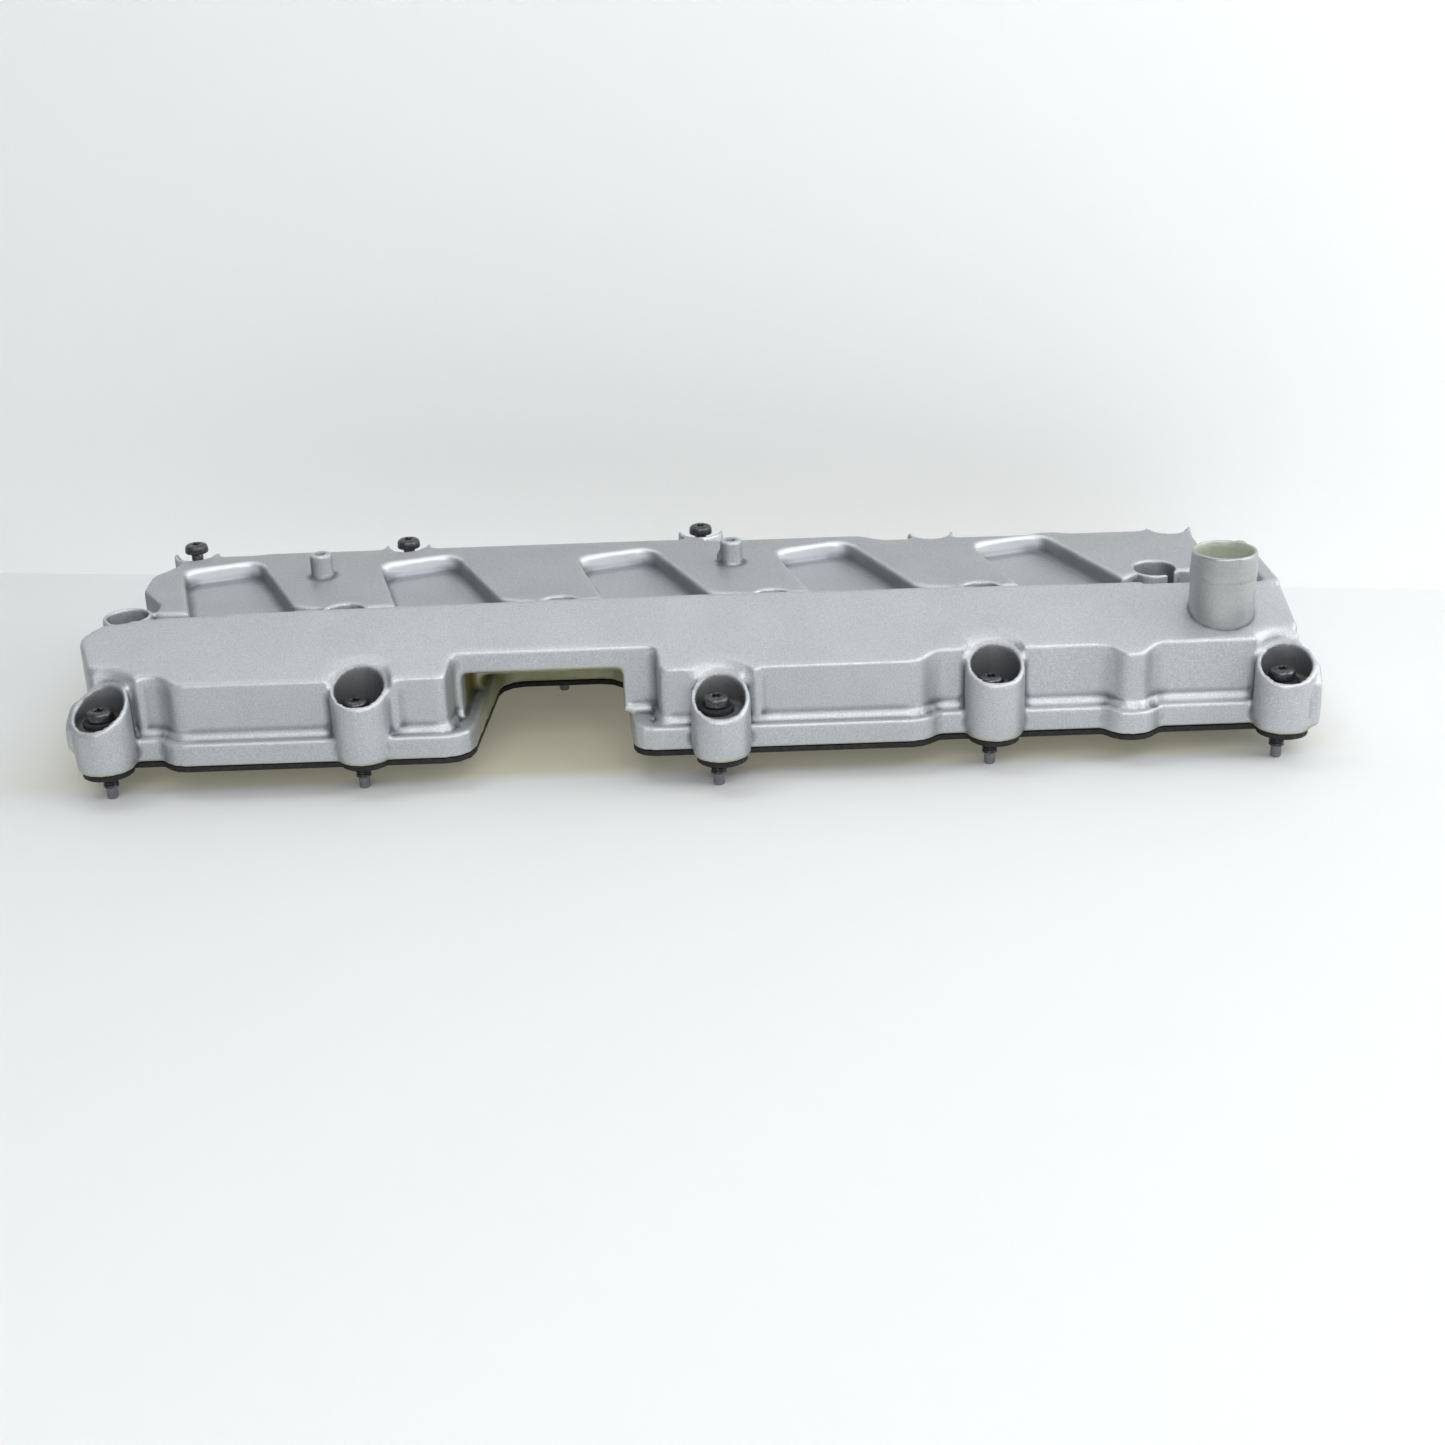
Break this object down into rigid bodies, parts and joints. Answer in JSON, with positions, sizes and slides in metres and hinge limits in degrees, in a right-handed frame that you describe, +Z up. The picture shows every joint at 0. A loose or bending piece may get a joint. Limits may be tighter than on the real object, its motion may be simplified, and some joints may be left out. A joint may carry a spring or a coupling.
{
  "type": "cylinder head cover",
  "caption": "Die-cast cylinder head cover for one bank of an engine, with a sloping breather chamber, angled coil recesses, captive bolts in deep wells, rubber gasket and round breather spout",
  "frame": {"origin": "on the underside of the gasket, on the sealing land behind the bay, in line with the third middle bolt", "axes": "+X along the bank towards the breather spout, +Y from the sloping chamber to the plateau, +Z up, away from the engine"},
  "size_m": [0.4886, 0.1995, 0.077],
  "materials": {
    "cover_paint": "silver-grey fine powder coat over die-cast metal",
    "gasket_rubber": "matt black moulded rubber",
    "spout_metal": "satin turned metal",
    "bolt_steel": "black phosphated steel",
    "baffle_sheet": "zinc-plated sheet"
  },
  "bodies": {
    "cover": {"cover_casting": "cover_paint", "perimeter_gasket": "gasket_rubber", "breather_spout": "spout_metal", "baffle_plate": "baffle_sheet", "baffle_screw_1": "baffle_sheet", "baffle_screw_2": "baffle_sheet", "baffle_screw_3": "baffle_sheet", "baffle_screw_4": "baffle_sheet", "baffle_screw_5": "baffle_sheet", "baffle_screw_6": "baffle_sheet", "grommet_front_1": "gasket_rubber", "grommet_front_2": "gasket_rubber", "grommet_front_3": "gasket_rubber", "grommet_front_4": "gasket_rubber", "grommet_front_5": "gasket_rubber", "grommet_mid_1": "gasket_rubber", "grommet_mid_2": "gasket_rubber", "grommet_mid_3": "gasket_rubber", "grommet_mid_4": "gasket_rubber", "grommet_mid_5": "gasket_rubber", "grommet_mid_6": "gasket_rubber", "grommet_rear_1": "gasket_rubber", "grommet_rear_2": "gasket_rubber", "grommet_rear_3": "gasket_rubber", "grommet_rear_4": "gasket_rubber", "grommet_rear_5": "gasket_rubber"},
    "captive_sleeve_front_1": {"sleeve_front_1": "bolt_steel"},
    "captive_bolt_front_1": {"bolt_front_1": "bolt_steel"},
    "captive_sleeve_front_2": {"sleeve_front_2": "bolt_steel"},
    "captive_bolt_front_2": {"bolt_front_2": "bolt_steel"},
    "captive_sleeve_front_3": {"sleeve_front_3": "bolt_steel"},
    "captive_bolt_front_3": {"bolt_front_3": "bolt_steel"},
    "captive_sleeve_front_4": {"sleeve_front_4": "bolt_steel"},
    "captive_bolt_front_4": {"bolt_front_4": "bolt_steel"},
    "captive_sleeve_front_5": {"sleeve_front_5": "bolt_steel"},
    "captive_bolt_front_5": {"bolt_front_5": "bolt_steel"},
    "captive_sleeve_mid_1": {"sleeve_mid_1": "bolt_steel"},
    "captive_bolt_mid_1": {"bolt_mid_1": "bolt_steel"},
    "captive_sleeve_mid_2": {"sleeve_mid_2": "bolt_steel"},
    "captive_bolt_mid_2": {"bolt_mid_2": "bolt_steel"},
    "captive_sleeve_mid_3": {"sleeve_mid_3": "bolt_steel"},
    "captive_bolt_mid_3": {"bolt_mid_3": "bolt_steel"},
    "captive_sleeve_mid_4": {"sleeve_mid_4": "bolt_steel"},
    "captive_bolt_mid_4": {"bolt_mid_4": "bolt_steel"},
    "captive_sleeve_mid_5": {"sleeve_mid_5": "bolt_steel"},
    "captive_bolt_mid_5": {"bolt_mid_5": "bolt_steel"},
    "captive_sleeve_mid_6": {"sleeve_mid_6": "bolt_steel"},
    "captive_bolt_mid_6": {"bolt_mid_6": "bolt_steel"},
    "captive_sleeve_rear_1": {"sleeve_rear_1": "bolt_steel"},
    "captive_bolt_rear_1": {"bolt_rear_1": "bolt_steel"},
    "captive_sleeve_rear_2": {"sleeve_rear_2": "bolt_steel"},
    "captive_bolt_rear_2": {"bolt_rear_2": "bolt_steel"},
    "captive_sleeve_rear_3": {"sleeve_rear_3": "bolt_steel"},
    "captive_bolt_rear_3": {"bolt_rear_3": "bolt_steel"},
    "captive_sleeve_rear_4": {"sleeve_rear_4": "bolt_steel"},
    "captive_bolt_rear_4": {"bolt_rear_4": "bolt_steel"},
    "captive_sleeve_rear_5": {"sleeve_rear_5": "bolt_steel"},
    "captive_bolt_rear_5": {"bolt_rear_5": "bolt_steel"}
  },
  "joints": [
    {"name": "lift_front_1", "type": "slide", "parent": "cover", "child": "captive_sleeve_front_1", "axis": [0, 0, 1], "range_m": [0, 0.018]},
    {"name": "turn_front_1", "type": "hinge", "parent": "captive_sleeve_front_1", "child": "captive_bolt_front_1", "pos_m": [-0.171, -0.0775, 0.0223], "axis": [0, 0, 1], "continuous": true},
    {"name": "lift_front_2", "type": "slide", "parent": "cover", "child": "captive_sleeve_front_2", "axis": [0, 0, 1], "range_m": [0, 0.018]},
    {"name": "turn_front_2", "type": "hinge", "parent": "captive_sleeve_front_2", "child": "captive_bolt_front_2", "pos_m": [-0.0731, -0.0758, 0.0223], "axis": [0, 0, 1], "continuous": true},
    {"name": "lift_front_3", "type": "slide", "parent": "cover", "child": "captive_sleeve_front_3", "axis": [0, 0, 1], "range_m": [0, 0.018]},
    {"name": "turn_front_3", "type": "hinge", "parent": "captive_sleeve_front_3", "child": "captive_bolt_front_3", "pos_m": [0.065, -0.0845, 0.0223], "axis": [0, 0, 1], "continuous": true},
    {"name": "lift_front_4", "type": "slide", "parent": "cover", "child": "captive_sleeve_front_4", "axis": [0, 0, 1], "range_m": [0, 0.018]},
    {"name": "turn_front_4", "type": "hinge", "parent": "captive_sleeve_front_4", "child": "captive_bolt_front_4", "pos_m": [0.1709, -0.0735, 0.0223], "axis": [0, 0, 1], "continuous": true},
    {"name": "lift_front_5", "type": "slide", "parent": "cover", "child": "captive_sleeve_front_5", "axis": [0, 0, 1], "range_m": [0, 0.018]},
    {"name": "turn_front_5", "type": "hinge", "parent": "captive_sleeve_front_5", "child": "captive_bolt_front_5", "pos_m": [0.2821, -0.0765, 0.0223], "axis": [0, 0, 1], "continuous": true},
    {"name": "lift_mid_1", "type": "slide", "parent": "cover", "child": "captive_sleeve_mid_1", "axis": [0, 0, 1], "range_m": [0, 0.018]},
    {"name": "turn_mid_1", "type": "hinge", "parent": "captive_sleeve_mid_1", "child": "captive_bolt_mid_1", "pos_m": [-0.1825, 0.0115, 0.0223], "axis": [0, 0, 1], "continuous": true},
    {"name": "lift_mid_2", "type": "slide", "parent": "cover", "child": "captive_sleeve_mid_2", "axis": [0, 0, 1], "range_m": [0, 0.018]},
    {"name": "turn_mid_2", "type": "hinge", "parent": "captive_sleeve_mid_2", "child": "captive_bolt_mid_2", "pos_m": [-0.0905, 0.0085, 0.0223], "axis": [0, 0, 1], "continuous": true},
    {"name": "lift_mid_3", "type": "slide", "parent": "cover", "child": "captive_sleeve_mid_3", "axis": [0, 0, 1], "range_m": [0, 0.018]},
    {"name": "turn_mid_3", "type": "hinge", "parent": "captive_sleeve_mid_3", "child": "captive_bolt_mid_3", "pos_m": [0, 0.0087, 0.0223], "axis": [0, 0, 1], "continuous": true},
    {"name": "lift_mid_4", "type": "slide", "parent": "cover", "child": "captive_sleeve_mid_4", "axis": [0, 0, 1], "range_m": [0, 0.018]},
    {"name": "turn_mid_4", "type": "hinge", "parent": "captive_sleeve_mid_4", "child": "captive_bolt_mid_4", "pos_m": [0.0895, 0.0085, 0.0223], "axis": [0, 0, 1], "continuous": true},
    {"name": "lift_mid_5", "type": "slide", "parent": "cover", "child": "captive_sleeve_mid_5", "axis": [0, 0, 1], "range_m": [0, 0.018]},
    {"name": "turn_mid_5", "type": "hinge", "parent": "captive_sleeve_mid_5", "child": "captive_bolt_mid_5", "pos_m": [0.178, 0.0085, 0.0223], "axis": [0, 0, 1], "continuous": true},
    {"name": "lift_mid_6", "type": "slide", "parent": "cover", "child": "captive_sleeve_mid_6", "axis": [0, 0, 1], "range_m": [0, 0.018]},
    {"name": "turn_mid_6", "type": "hinge", "parent": "captive_sleeve_mid_6", "child": "captive_bolt_mid_6", "pos_m": [0.2545, 0.0265, 0.0223], "axis": [0, 0, 1], "continuous": true},
    {"name": "lift_rear_1", "type": "slide", "parent": "cover", "child": "captive_sleeve_rear_1", "axis": [0, 0, 1], "range_m": [-0.015, 0.003], "stiffness_N_per_m": 200},
    {"name": "turn_rear_1", "type": "hinge", "parent": "captive_sleeve_rear_1", "child": "captive_bolt_rear_1", "pos_m": [-0.1698, 0.0867, 0.0373], "axis": [0, 0, 1], "continuous": true},
    {"name": "lift_rear_2", "type": "slide", "parent": "cover", "child": "captive_sleeve_rear_2", "axis": [0, 0, 1], "range_m": [-0.0134, 0.0046], "stiffness_N_per_m": 200},
    {"name": "turn_rear_2", "type": "hinge", "parent": "captive_sleeve_rear_2", "child": "captive_bolt_rear_2", "pos_m": [-0.0734, 0.0885, 0.0357], "axis": [0, 0, 1], "continuous": true},
    {"name": "lift_rear_3", "type": "slide", "parent": "cover", "child": "captive_sleeve_rear_3", "axis": [0, 0, 1], "range_m": [-0.0135, 0.0045], "stiffness_N_per_m": 200},
    {"name": "turn_rear_3", "type": "hinge", "parent": "captive_sleeve_rear_3", "child": "captive_bolt_rear_3", "pos_m": [0.0601, 0.0939, 0.0358], "axis": [0, 0, 1], "continuous": true},
    {"name": "lift_rear_4", "type": "slide", "parent": "cover", "child": "captive_sleeve_rear_4", "axis": [0, 0, 1], "range_m": [0, 0.018]},
    {"name": "turn_rear_4", "type": "hinge", "parent": "captive_sleeve_rear_4", "child": "captive_bolt_rear_4", "pos_m": [0.1643, 0.0815, 0.0223], "axis": [0, 0, 1], "continuous": true},
    {"name": "lift_rear_5", "type": "slide", "parent": "cover", "child": "captive_sleeve_rear_5", "axis": [0, 0, 1], "range_m": [0, 0.018]},
    {"name": "turn_rear_5", "type": "hinge", "parent": "captive_sleeve_rear_5", "child": "captive_bolt_rear_5", "pos_m": [0.2712, 0.0771, 0.0223], "axis": [0, 0, 1], "continuous": true}
  ]
}
